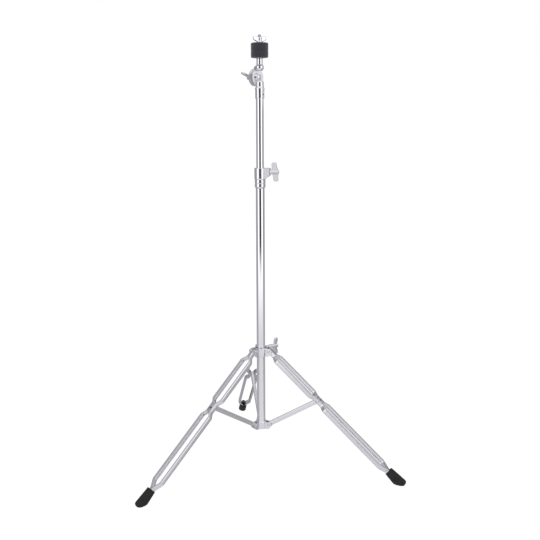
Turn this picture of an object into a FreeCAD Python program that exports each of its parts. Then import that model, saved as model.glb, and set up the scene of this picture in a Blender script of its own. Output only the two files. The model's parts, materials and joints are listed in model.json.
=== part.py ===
import FreeCAD, Part
import math
import os

# A straight, double-braced folding cymbal stand without its cymbal.
# Millimetres, +Z up. The origin is on the floor, straight under the column.
# One leg points along +Y, the other two lie 120 degrees to each side of it.

# ---------------------------------------------------------------- fits
RUN = 0.05            # radial clearance of a shaft that turns or slides
FREE = 0.3            # clearance between faces that only pass each other
SOFT_GAP = 0.3        # clearance round a felt
PAST = 5.0            # how far a cutter runs past what it cuts

# ---------------------------------------------------------------- column
BASE_TUBE_R = 11.1
BASE_TUBE_WALL = 1.2
BASE_TUBE_LENGTH = 652.0
MAST_R = 9.525
MAST_WALL = 1.2
MAST_LENGTH = 595.0
MAST_SHOWN = 170.0    # mast between the clamp and the tilter
PLUG_DEPTH = 10.0
PLUG_RIM = 1.6

# ---------------------------------------------------------------- tripod
LEG_AZIMUTH = {"back": 90.0, "left": 210.0, "right": 330.0}
LEG_ANGLE = 48.2      # from the vertical, legs fully spread
LEG_LENGTH = 475.0    # leg pivot to the floor along the leg
LEG_PIVOT_R = 24.0    # leg pivot to the column axis
BRACE_AT = 181.0      # strut joint along the leg
STRUT_PIVOT_R = 23.0
STRUT_PIVOT_UP = 111.0

STRIP_WIDTH = 12.0    # each leg is two pressed channels side by side
STRIP_DEPTH = 5.5
STRIP_GAUGE = 1.5
STRIP_SPREAD = 13.45  # inner face to the leg's middle plane, spread apart
TOP_PINCH = 1.0       # the same, pinched at the leg pivot
FOOT_PINCH = 0.5      # the same, pinched in the rubber foot
TOP_PINCH_LENGTH = 20.0
TOP_FLARE = 13.0
JOINT_PINCH_ABOVE = 11.0
JOINT_PINCH_BELOW = 17.0
JOINT_FLARE = 11.0
FOOT_FLARE = 24.0
BEND_R = 9.0

STRUT_WIDTH = 8.0
STRUT_HEIGHT = 12.0
STRUT_GAUGE = 1.5

FOOT_HEIGHT = 43.0    # boot's top to the floor along the leg
FOOT_TOP = {"across": 10.3, "outer": 14.0, "inner": 9.5}
FOOT_END = {"across": 11.0, "outer": 17.5, "inner": 14.0}
FOOT_LIP = {"across": 9.5, "outer": 15.5, "inner": 12.5}
FOOT_DOME = {"across": 5.0, "outer": 8.0, "inner": 5.0}
FOOT_PAST_FLOOR = 3.0 # boot's widest place past the leg's meeting point with the floor
FOOT_LIP_LENGTH = 4.0
FOOT_DOME_LENGTH = 2.0
FOOT_SOCKET = 28.0
FOOT_NECK = 4.0       # pinched length of the strips above the boot

# ---------------------------------------------------------------- collars
COLLAR_R = 17.0
COLLAR_BELOW = 14.7   # leg pivot to the collar's bottom face
COLLAR_ABOVE = 7.4
BUSH_WALL = 1.9
LOWER_COLLAR_R = 15.5
LOWER_COLLAR_BELOW = 13.0
LOWER_COLLAR_ABOVE = 5.8
EAR_THICK = 3.0
EAR_REACH = 8.0
EAR_TUCK = 5.0        # how far an ear runs back into its ring
LEG_RIVET_R = 3.0
STRUT_RIVET_R = 2.5
RIVET_HEAD_OVER = 1.6
RIVET_HEAD_T = 1.6
COLLAR_PIN_R = 2.0
COLLAR_BOLT_AZIMUTH = 30.0
COLLAR_BOSS_R = 7.0
COLLAR_BOSS_REACH = 39.0
COLLAR_BOLT_RISE = 1.0 # bolt axis above the leg pivots

# ---------------------------------------------------------------- height clamp
CLAMP_R = 14.5
SKIRT_R = 13.5
SKIRT_BELOW = 8.0     # skirt past the base tube's top
CLAMP_ABOVE = 42.8
CLAMP_BAND = 26.0     # height of the thick band that carries the lug
GROOVE_DEPTH = 0.7
GROOVE_WIDTH = 1.8
LINER_WALL = 2.0
LUG_REACH = 26.0
LUG_HALF = 8.0
LUG_SLOPE = 6.0
CLAMP_BOLT_AZIMUTH = -23.0
CLAMP_BOLT_TURN = 28.0
CLAMP_BOLT_DOWN = 9.5

# ---------------------------------------------------------------- wing bolts
BOLT_R = 4.0
WING_THICK = 4.2
WING_HUB_R = 5.6
WING_FLANGE = 1.2     # hub's foot past the hub
WING_TIP = 9.0        # straight outer edge of a wing beside its tip
WING_SWEEP = 3.0      # how far a wing's lower edge bends before its tip
CLAMP_WING = {"hub": 22.0, "span": 55.0, "root": 5.0, "low": 7.0, "high": 18.5, "saddle": 20.5}
COLLAR_WING = {"hub": 18.0, "span": 45.0, "root": 5.0, "low": 7.5, "high": 18.5, "saddle": 15.5}
TILTER_WING = {"hub": 18.0, "span": 58.0, "root": 4.0, "low": 10.0, "high": 19.0, "saddle": 15.0}
CYMBAL_WING = {"hub": 13.5, "span": 37.0, "root": 1.0, "low": 6.0, "high": 15.0, "saddle": 12.8}

# ---------------------------------------------------------------- tilter
TILT_AZIMUTH = -50.0  # which way the tilter's bolt head points
SOCKET_R = 11.2
SOCKET_DEPTH = 25.0
SOCKET_TO_PIVOT = 51.5
ROLL_PIN_R = 1.6
ROLL_PIN_UP = 10.0
DISC_R = 20.6
DISC_THICK = 4.0
REAR_DISC_THICK = 9.0
DISC_OFFSET = 9.5     # meeting face of the two discs to the column axis
TOOTH_COUNT = 36
TOOTH_DEPTH = 0.7
TOOTH_INNER_R = 11.0
BOSS_R = 10.5
BOSS_RISE = 3.5
SOCKET_RING = 0.6     # ring round the socket's end
SOCKET_RING_HEIGHT = 3.0
POST_R = 10.0
POST_SHOULDER = 4.0   # socket's end to the thin part of the post
POST_BELOW = 8.5      # tilter pivot to the post's top
HEAD_R = 7.0
HEAD_THICK = 3.0
WASHER_R = 9.0
WASHER_THICK = 1.2
ARM_HALF = 5.8
ARM_THICK = 4.0
ARM_ROUND = 5.0       # rounding of the arm where it turns over the discs
CHIN_DROP = 5.4       # neck below its flange, in front of the discs
CHIN_R = 7.0
NECK_R = 10.4
NECK_HEIGHT = 6.2
NECK_TAPER = 2.5
STEM_R = 7.75
STEM_TOP = 44.5       # tilter pivot to the stem's top
TILT_WING_TURN = -66.0

# ---------------------------------------------------------------- cymbal seat
ROD_R = 4.0
ROD_SEAT = 18.0
ROD_ABOVE_STEM = 56.4
SEAT_WASHER_T = 1.2
SLEEVE_R = 6.0
SLEEVE_SHORT = 2.0
FELT_R = 21.6
FELT_THICK = 17.6
FELT_ROUND = 3.0
FELT_MEETING_ROUND = 1.2
CYMBAL_WING_TURN = 22.0

# ---------------------------------------------------------------- worked-out places
LEG_RISE = math.radians(LEG_ANGLE)
LEG_PIVOT_UP = LEG_LENGTH * math.cos(LEG_RISE)
JOINT_R = LEG_PIVOT_R + BRACE_AT * math.sin(LEG_RISE)
JOINT_UP = LEG_PIVOT_UP - BRACE_AT * math.cos(LEG_RISE)
STRUT_LENGTH = math.hypot(JOINT_R - STRUT_PIVOT_R, JOINT_UP - STRUT_PIVOT_UP)
STRUT_ANGLE = math.degrees(math.atan2(JOINT_UP - STRUT_PIVOT_UP, JOINT_R - STRUT_PIVOT_R))
JOINT_PINCH = STRUT_WIDTH / 2 + FREE
LOWER_COLLAR_BOTTOM = STRUT_PIVOT_UP - LOWER_COLLAR_BELOW
BASE_TUBE_BOTTOM = LOWER_COLLAR_BOTTOM + PLUG_RIM
BASE_TUBE_TOP = BASE_TUBE_BOTTOM + BASE_TUBE_LENGTH
BASE_BORE_R = BASE_TUBE_R - BASE_TUBE_WALL
CLAMP_BOTTOM = BASE_TUBE_TOP - SKIRT_BELOW
CLAMP_TOP = BASE_TUBE_TOP + CLAMP_ABOVE
LINER_R = MAST_R + RUN + LINER_WALL
SOCKET_BOTTOM = CLAMP_TOP + MAST_SHOWN
MAST_TOP = SOCKET_BOTTOM + SOCKET_DEPTH
MAST_BOTTOM = MAST_TOP - MAST_LENGTH
TILT_UP = SOCKET_BOTTOM + SOCKET_TO_PIVOT
STEM_TOP_UP = TILT_UP + STEM_TOP
SEAT_UP = STEM_TOP_UP + SEAT_WASHER_T
LOWER_FELT_UP = SEAT_UP + SOFT_GAP
UPPER_FELT_UP = LOWER_FELT_UP + FELT_THICK + SOFT_GAP
CYMBAL_NUT_UP = UPPER_FELT_UP + FELT_THICK + SOFT_GAP

V = FreeCAD.Vector
ORIGIN = V(0, 0, 0)
AXIS_X = V(1, 0, 0)
AXIS_Y = V(0, 1, 0)
AXIS_Z = V(0, 0, 1)


# ---------------------------------------------------------------- shape helpers
def flat(u, v):
    return V(u, v, 0)


def upright(u, v):
    return V(u, 0, v)


def outline(points, place=flat):
    """Closed face through (u, v, corner radius) points, corners rounded by arcs."""
    spots = [(V(p[0], p[1], 0), p[2] if len(p) > 2 else 0.0) for p in points]
    starts = []
    ends = []
    arcs = []
    for i, (corner, radius) in enumerate(spots):
        to_last = (spots[i - 1][0] - corner).normalize()
        to_next = (spots[(i + 1) % len(spots)][0] - corner).normalize()
        if radius <= 0:
            starts.append(corner)
            ends.append(corner)
            arcs.append(None)
            continue
        half = to_last.getAngle(to_next) / 2
        reach = radius / math.tan(half)
        middle = (to_last + to_next).normalize() * (radius / math.sin(half) - radius)
        starts.append(corner + to_last * reach)
        ends.append(corner + to_next * reach)
        arcs.append(corner + middle)
    edges = []
    for i, bend in enumerate(arcs):
        here = place(ends[i].x, ends[i].y)
        if bend is not None:
            begin = place(starts[i].x, starts[i].y)
            edges.append(Part.Arc(begin, place(bend.x, bend.y), here).toShape())
        after = starts[(i + 1) % len(spots)]
        there = place(after.x, after.y)
        if here.distanceToPoint(there) > 1e-6:
            edges.append(Part.LineSegment(here, there).toShape())
    return Part.Face(Part.Wire(edges))


def turned(points):
    """Solid of revolution about Z from (radius, height, corner radius) points."""
    return outline(points, upright).revolve(ORIGIN, AXIS_Z, 360)


def slab(points, low, high):
    """The face through the points, drawn in X and Z, thickened from Y low to high."""
    face = outline(points, upright)
    face.translate(V(0, low, 0))
    return face.extrude(V(0, high - low, 0))


def bar(radius, start, end):
    return Part.makeCylinder(radius, (end - start).Length, start, end - start)


def pipe(outer, inner, low, high):
    wall = Part.makeCylinder(outer, high - low, V(0, 0, low))
    return wall.cut(Part.makeCylinder(inner, high - low, V(0, 0, low)))


def spun(shape, axis, degrees):
    turned_shape = shape.copy()
    turned_shape.rotate(ORIGIN, axis, degrees)
    return turned_shape


def shifted(shape, by):
    moved_shape = shape.copy()
    moved_shape.translate(by)
    return moved_shape


def around(shape, azimuth):
    return spun(shape, AXIS_Z, azimuth)


def lying(shape):
    """Turn a piece made along +Z so that it points along +X."""
    return spun(shape, AXIS_Y, 90)


def save(name, *solids):
    shape = solids[0] if len(solids) == 1 else Part.makeCompound(list(solids))
    shape.exportStep("parts/" + name + ".step")


# ---------------------------------------------------------------- small hardware
def winged(wing, bore=None, shank=None):
    """Wing nut or bolt along +Z, its seat at zero and its shank below it."""
    hub_top = wing["hub"]
    tip = wing["span"] / 2
    hub = turned([(0, 0), (WING_HUB_R + WING_FLANGE, 0, 0.6), (WING_HUB_R, WING_SWEEP, 2),
                  (WING_HUB_R - WING_FLANGE / 2, hub_top, 1.2), (0, hub_top)])
    root, saddle, low, high = wing["root"], wing["saddle"], wing["low"], wing["high"]
    paddle = [(0, root), (WING_HUB_R, root, 2), (tip - WING_SWEEP, low - 1, 6), (tip, low + 2, 2.5),
              (tip, high, 4), (tip - WING_TIP, high, 6), (WING_HUB_R - 1, saddle, 3), (0, saddle)]
    body = hub
    for side in (0, 180):
        blade = slab(paddle, -WING_THICK / 2, WING_THICK / 2)
        body = body.fuse(around(blade, side))
    if shank is not None:
        body = body.fuse(Part.makeCylinder(BOLT_R, shank, V(0, 0, -shank)))
    if bore is not None:
        body = body.cut(Part.makeCylinder(bore, hub_top + 2, V(0, 0, -1)))
    return body.removeSplitter()


def rivet(radius, half_length, head):
    """Rivet along Y through the middle, with a flat-domed head at each end."""
    profile = [(0, -half_length - head), (radius, -half_length - head, head * 0.6),
               (radius + RIVET_HEAD_OVER, -half_length - head * 0.4, head * 0.3),
               (radius + RIVET_HEAD_OVER, -half_length), (radius, -half_length),
               (radius, half_length), (radius + RIVET_HEAD_OVER, half_length),
               (radius + RIVET_HEAD_OVER, half_length + head * 0.4, head * 0.3),
               (radius, half_length + head, head * 0.6), (0, half_length + head)]
    return spun(turned(profile), AXIS_X, 90)


def ears(pivot_r, pivot_up, below, above, root_r, inner, hole_r):
    """A pair of clevis ears round a pivot on the +X side, drilled along Y."""
    side = [(root_r, pivot_up - below), (pivot_r, pivot_up - below, 5),
            (pivot_r + EAR_REACH, pivot_up - EAR_REACH / 2, 5),
            (pivot_r + EAR_REACH, pivot_up + above - 2, 4),
            (pivot_r + EAR_REACH / 4, pivot_up + above, 2), (root_r, pivot_up + above)]
    pair = slab(side, inner, inner + EAR_THICK).fuse(slab(side, -inner - EAR_THICK, -inner))
    reach = inner + EAR_THICK + 1
    hole = bar(hole_r, V(pivot_r, -reach, pivot_up), V(pivot_r, reach, pivot_up))
    return pair.cut(hole)


# ---------------------------------------------------------------- legs
def on_leg(shape, azimuth):
    """Place a shape drawn along +X from the leg pivot, with Z across the leg."""
    leant = shifted(spun(shape, AXIS_Y, 90 - LEG_ANGLE), V(LEG_PIVOT_R, 0, LEG_PIVOT_UP))
    return around(leant, azimuth)


def on_strut(shape, azimuth):
    leant = shifted(spun(shape, AXIS_Y, -STRUT_ANGLE), V(STRUT_PIVOT_R, 0, STRUT_PIVOT_UP))
    return around(leant, azimuth)


def strip_line():
    """(distance along the leg, inner face to the middle plane) at each bend."""
    strip_end = LEG_LENGTH - FOOT_HEIGHT + FOOT_SOCKET
    joint_from = BRACE_AT - JOINT_PINCH_ABOVE
    joint_to = BRACE_AT + JOINT_PINCH_BELOW
    foot_top = LEG_LENGTH - FOOT_HEIGHT
    return [(-STRIP_WIDTH, TOP_PINCH), (TOP_PINCH_LENGTH, TOP_PINCH),
            (TOP_PINCH_LENGTH + TOP_FLARE, STRIP_SPREAD), (joint_from - JOINT_FLARE, STRIP_SPREAD),
            (joint_from, JOINT_PINCH), (joint_to, JOINT_PINCH),
            (joint_to + JOINT_FLARE, STRIP_SPREAD), (foot_top - FOOT_FLARE, STRIP_SPREAD),
            (foot_top - FOOT_NECK, FOOT_PINCH), (strip_end, FOOT_PINCH)]


def strip_band(near, far, half_width, round_end):
    """The strip between two lateral offsets from its inner face, with a round top end."""
    line = strip_line()
    last = len(line) - 1
    there = [(s, y + near, BEND_R if 0 < i < last else 0) for i, (s, y) in enumerate(line)]
    back = [(s, y + far, BEND_R if 0 < i < last else 0) for i, (s, y) in enumerate(line)]
    band = outline(there + back[::-1]).extrude(V(0, 0, 2 * half_width))
    band.translate(V(0, 0, -half_width))
    end = line[-1][0]
    reach = STRIP_SPREAD + STRIP_DEPTH + PAST
    keep = Part.makeBox(end, 2 * reach, 2 * half_width, V(0, -reach, -half_width))
    keep = keep.fuse(bar(round_end, V(0, -reach, 0), V(0, reach, 0)))
    return band.common(keep)


def leg_strip():
    """The channel on the +Y side of the leg, open towards the other one."""
    half = STRIP_WIDTH / 2
    channel = strip_band(0, STRIP_DEPTH, half, half)
    inner_half = half - STRIP_GAUGE
    hollow = strip_band(-1, STRIP_DEPTH - STRIP_GAUGE, inner_half, inner_half)
    channel = channel.cut(hollow)
    reach = STRIP_SPREAD + STRIP_DEPTH + PAST
    pivot_hole = bar(LEG_RIVET_R + RUN, ORIGIN, V(0, reach, 0))
    joint_hole = bar(LEG_RIVET_R, V(BRACE_AT, 0, 0), V(BRACE_AT, reach, 0))
    return channel.cut(pivot_hole).cut(joint_hole)


def mirrored(shape):
    return shape.mirror(ORIGIN, AXIS_Y)


def strut():
    half = STRUT_HEIGHT / 2
    side = STRUT_WIDTH / 2
    side_view = [(0, -half), (STRUT_LENGTH, -half), (STRUT_LENGTH, half), (0, half)]
    bodies = []
    for trim, wide in ((0, side), (STRUT_GAUGE, side - STRUT_GAUGE)):
        high = half - trim
        body = Part.makeBox(STRUT_LENGTH, 2 * wide, 2 * high, V(0, -wide, -high))
        for end in (0, STRUT_LENGTH):
            body = body.fuse(bar(high, V(end, -wide, 0), V(end, wide, 0)))
        bodies.append(body)
    shell, hollow = bodies
    open_foot = Part.makeBox(STRUT_LENGTH, 2 * (side - STRUT_GAUGE), STRUT_HEIGHT,
                             V(0, -side + STRUT_GAUGE, -STRUT_HEIGHT))
    shell = shell.cut(hollow).cut(open_foot)
    inner_hole = bar(STRUT_RIVET_R + RUN, V(0, -side - 1, 0), V(0, side + 1, 0))
    outer_hole = bar(LEG_RIVET_R + FREE, V(STRUT_LENGTH, -side - 1, 0), V(STRUT_LENGTH, side + 1, 0))
    return shell.cut(inner_hole).cut(outer_hole).removeSplitter()


def brace_rivets():
    """The joint rivet's two ends: each is set in one strip and stops short of the strut."""
    web = JOINT_PINCH + STRIP_DEPTH
    whole = shifted(rivet(LEG_RIVET_R, web, RIVET_HEAD_T), V(BRACE_AT, 0, 0))
    gap = Part.makeBox(4 * LEG_RIVET_R, 2 * JOINT_PINCH, 4 * LEG_RIVET_R,
                       V(BRACE_AT - 2 * LEG_RIVET_R, -JOINT_PINCH, -2 * LEG_RIVET_R))
    return whole.cut(gap).Solids


def pivot_bush():
    """Spacer between the two strips on the leg's pivot rivet."""
    half = TOP_PINCH + STRIP_DEPTH - STRIP_GAUGE
    outer = STRIP_WIDTH / 2 - STRIP_GAUGE - FREE
    wall = bar(outer, V(0, -half, 0), V(0, half, 0))
    return wall.cut(bar(LEG_RIVET_R + RUN, V(0, -half, 0), V(0, half, 0)))


def oval(distance, across, outer, inner):
    """Closed oval wire square to the leg, deeper on its outer side than on its inner one."""
    middle = V(distance, 0, (outer - inner) / 2)
    half_deep = (outer + inner) / 2
    major, minor = V(0, 0, half_deep), V(0, across, 0)
    return Part.Wire(Part.Ellipse(middle + major, middle + minor, middle).toShape())


def rubber_foot():
    """Boot on the end of the leg: an oval cone with a low domed end, flat where it stands."""
    top = LEG_LENGTH - FOOT_HEIGHT
    end = LEG_LENGTH + FOOT_PAST_FLOOR
    lip = end + FOOT_LIP_LENGTH
    boot = Part.makeLoft([oval(top, **FOOT_TOP), oval(end, **FOOT_END)], True, True)
    boot = boot.fuse(Part.makeLoft([oval(end, **FOOT_END), oval(lip, **FOOT_LIP)], True, True))
    dome = oval(lip + FOOT_DOME_LENGTH, **FOOT_DOME)
    boot = boot.fuse(Part.makeLoft([oval(lip, **FOOT_LIP), dome], True, True))
    outer = FOOT_PINCH + STRIP_DEPTH
    socket = Part.makeBox(FOOT_SOCKET, 2 * outer, STRIP_WIDTH, V(top, -outer, -STRIP_WIDTH / 2))
    return boot.cut(socket)


def on_floor(shape):
    """Cut away what would reach below the floor."""
    box = shape.BoundBox
    deep = abs(box.ZMin) + 1
    slice_box = Part.makeBox(box.XLength + 2, box.YLength + 2, deep, V(box.XMin - 1, box.YMin - 1, -deep))
    return shape.cut(slice_box)


def save_legs():
    plus_strip = leg_strip()
    for name, azimuth in LEG_AZIMUTH.items():
        save(name + "_leg_strip_a", on_leg(plus_strip, azimuth))
        save(name + "_leg_strip_b", on_leg(mirrored(plus_strip), azimuth))
        save(name + "_leg_pivot_bush", on_leg(pivot_bush(), azimuth))
        save(name + "_brace_rivet", *[on_leg(end, azimuth) for end in brace_rivets()])
        save(name + "_rubber_foot", on_floor(on_leg(rubber_foot(), azimuth)))
        save(name + "_strut", on_strut(strut(), azimuth))


# ---------------------------------------------------------------- collars
def sleeve_ring(outer, inner, low, high):
    """A cast ring with slightly rounded outer corners."""
    return turned([(inner, low), (outer, low, 1.2), (outer, high, 1.2), (inner, high)])


def save_leg_collar():
    bore = BASE_TUBE_R + RUN + BUSH_WALL
    low = LEG_PIVOT_UP - COLLAR_BELOW
    high = LEG_PIVOT_UP + COLLAR_ABOVE
    bolt_up = LEG_PIVOT_UP + COLLAR_BOLT_RISE
    ear_inner = TOP_PINCH + STRIP_DEPTH + FREE
    pair = ears(LEG_PIVOT_R, LEG_PIVOT_UP, COLLAR_BELOW, COLLAR_ABOVE, bore + EAR_TUCK / 2,
                ear_inner, LEG_RIVET_R)
    body = sleeve_ring(COLLAR_R, bore, low, high)
    for azimuth in LEG_AZIMUTH.values():
        body = body.fuse(around(pair, azimuth))
    boss = bar(COLLAR_BOSS_R, V(bore + 1, 0, bolt_up), V(COLLAR_BOSS_REACH, 0, bolt_up))
    boss_hole = bar(BOLT_R + RUN, V(BASE_TUBE_R, 0, bolt_up), V(COLLAR_BOSS_REACH + 1, 0, bolt_up))
    body = body.fuse(around(boss, COLLAR_BOLT_AZIMUTH)).cut(around(boss_hole, COLLAR_BOLT_AZIMUTH))
    body = body.cut(Part.makeCylinder(bore, high - low, V(0, 0, low)))
    save("leg_collar", body.removeSplitter())

    bush = pipe(bore, BASE_TUBE_R + RUN, low, high)
    save("leg_collar_bush", bush.cut(around(boss_hole, COLLAR_BOLT_AZIMUTH)))

    shank = COLLAR_BOSS_REACH + FREE - BASE_TUBE_R - FREE
    bolt = lying(winged(COLLAR_WING, shank=shank))
    bolt = shifted(bolt, V(COLLAR_BOSS_REACH + FREE, 0, bolt_up))
    save("leg_collar_wing_bolt", around(bolt, COLLAR_BOLT_AZIMUTH))

    pin = shifted(rivet(LEG_RIVET_R, ear_inner + EAR_THICK, RIVET_HEAD_T), V(LEG_PIVOT_R, 0, LEG_PIVOT_UP))
    save("leg_pivot_rivets", *[around(pin, azimuth) for azimuth in LEG_AZIMUTH.values()])


def save_lower_collar():
    low = LOWER_COLLAR_BOTTOM
    high = STRUT_PIVOT_UP + LOWER_COLLAR_ABOVE
    ear_inner = STRUT_WIDTH / 2 + FREE
    pair = ears(STRUT_PIVOT_R, STRUT_PIVOT_UP, LOWER_COLLAR_BELOW, LOWER_COLLAR_ABOVE,
                BASE_TUBE_R + EAR_TUCK / 2, ear_inner, STRUT_RIVET_R)
    body = sleeve_ring(LOWER_COLLAR_R, BASE_TUBE_R, low, high)
    for azimuth in LEG_AZIMUTH.values():
        body = body.fuse(around(pair, azimuth))
    body = body.cut(Part.makeCylinder(BASE_TUBE_R, high - low, V(0, 0, low)))
    save("lower_collar", body.cut(collar_pin()).removeSplitter())
    save("lower_collar_pin", collar_pin())

    pin = shifted(rivet(STRUT_RIVET_R, ear_inner + EAR_THICK, RIVET_HEAD_T),
                  V(STRUT_PIVOT_R, 0, STRUT_PIVOT_UP))
    save("strut_pivot_rivets", *[around(pin, azimuth) for azimuth in LEG_AZIMUTH.values()])


def collar_pin():
    """Cross pin that holds the lower collar on the base tube."""
    up = BASE_TUBE_BOTTOM + PLUG_DEPTH + COLLAR_PIN_R + 1
    pin = bar(COLLAR_PIN_R, V(-LOWER_COLLAR_R, 0, up), V(LOWER_COLLAR_R, 0, up))
    return around(pin, COLLAR_BOLT_AZIMUTH)


# ---------------------------------------------------------------- column
def tube_plug(tube_r, bore_r, tube_end):
    """Plastic plug in the bottom of a tube, its rim over the tube's edge."""
    rim_low = tube_end - PLUG_RIM
    return turned([(0, rim_low), (tube_r, rim_low, 0.6), (tube_r, tube_end), (bore_r, tube_end),
                   (bore_r, tube_end + PLUG_DEPTH, 0.8), (0, tube_end + PLUG_DEPTH)])


def save_column():
    base = pipe(BASE_TUBE_R, BASE_BORE_R, BASE_TUBE_BOTTOM, BASE_TUBE_TOP)
    save("base_tube", base.cut(collar_pin()))
    save("base_tube_plug", tube_plug(BASE_TUBE_R, BASE_BORE_R, BASE_TUBE_BOTTOM))

    mast_bore = MAST_R - MAST_WALL
    mast = pipe(MAST_R, mast_bore, MAST_BOTTOM, MAST_TOP)
    save("upper_tube", mast.cut(on_tilter(roll_pin())))
    save("upper_tube_plug", tube_plug(MAST_R, mast_bore, MAST_BOTTOM))


def save_clamp():
    band_low = CLAMP_TOP - CLAMP_BAND
    groove = (CLAMP_BOTTOM + band_low) / 2
    half_groove = GROOVE_WIDTH / 2
    liner_bore = LINER_R + RUN
    body = turned([(BASE_TUBE_R, CLAMP_BOTTOM), (SKIRT_R, CLAMP_BOTTOM + 3, 3),
                   (SKIRT_R, groove - half_groove, 0.5), (SKIRT_R - GROOVE_DEPTH, groove),
                   (SKIRT_R, groove + half_groove, 0.5), (SKIRT_R, band_low - 3, 1),
                   (CLAMP_R, band_low, 1), (CLAMP_R, CLAMP_TOP, 1), (liner_bore, CLAMP_TOP),
                   (liner_bore, BASE_TUBE_TOP), (BASE_TUBE_R, BASE_TUBE_TOP)])
    lug = slab([(0, band_low), (CLAMP_R, band_low), (LUG_REACH - 2, band_low + LUG_SLOPE, 3),
                (LUG_REACH, band_low + LUG_SLOPE + 3, 2), (LUG_REACH, CLAMP_TOP, 1.5), (0, CLAMP_TOP)],
               -LUG_HALF, LUG_HALF)
    bolt_up = CLAMP_TOP - CLAMP_BOLT_DOWN
    hole = bar(BOLT_R + RUN, V(LINER_R, 0, bolt_up), V(LUG_REACH + 1, 0, bolt_up))
    bore = Part.makeCylinder(liner_bore, CLAMP_BAND, V(0, 0, band_low))
    body = body.fuse(lug).cut(bore).cut(hole).removeSplitter()
    save("height_clamp", around(body, CLAMP_BOLT_AZIMUTH))

    liner = pipe(LINER_R, MAST_R + RUN, BASE_TUBE_TOP + FREE, CLAMP_TOP)
    save("clamp_liner", liner)

    shank = LUG_REACH + FREE - LINER_R - FREE
    bolt = spun(lying(winged(CLAMP_WING, shank=shank)), AXIS_X, CLAMP_BOLT_TURN)
    bolt = shifted(bolt, V(LUG_REACH + FREE, 0, bolt_up))
    save("clamp_wing_bolt", around(bolt, CLAMP_BOLT_AZIMUTH))


# ---------------------------------------------------------------- tilter
def on_tilter(shape):
    """Place a shape drawn with the tilter's bolt along +X."""
    return around(shape, TILT_AZIMUTH)


def roll_pin():
    up = SOCKET_BOTTOM + ROLL_PIN_UP
    return bar(ROLL_PIN_R, V(-SOCKET_R, 0, up), V(SOCKET_R, 0, up))


def teeth(face_x):
    """Radial notches of a ratchet face that lies square to the bolt at face_x."""
    notch = Part.makeBox(2 * TOOTH_DEPTH, 2 * TOOTH_DEPTH, DISC_R, ORIGIN)
    notch = spun(shifted(notch, V(-TOOTH_DEPTH, -TOOTH_DEPTH, TOOTH_INNER_R)), AXIS_Z, 45)
    step = 360.0 / TOOTH_COUNT
    ring = [spun(notch, AXIS_X, step * i) for i in range(TOOTH_COUNT)]
    return shifted(Part.makeCompound(ring), V(face_x, 0, TILT_UP))


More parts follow.
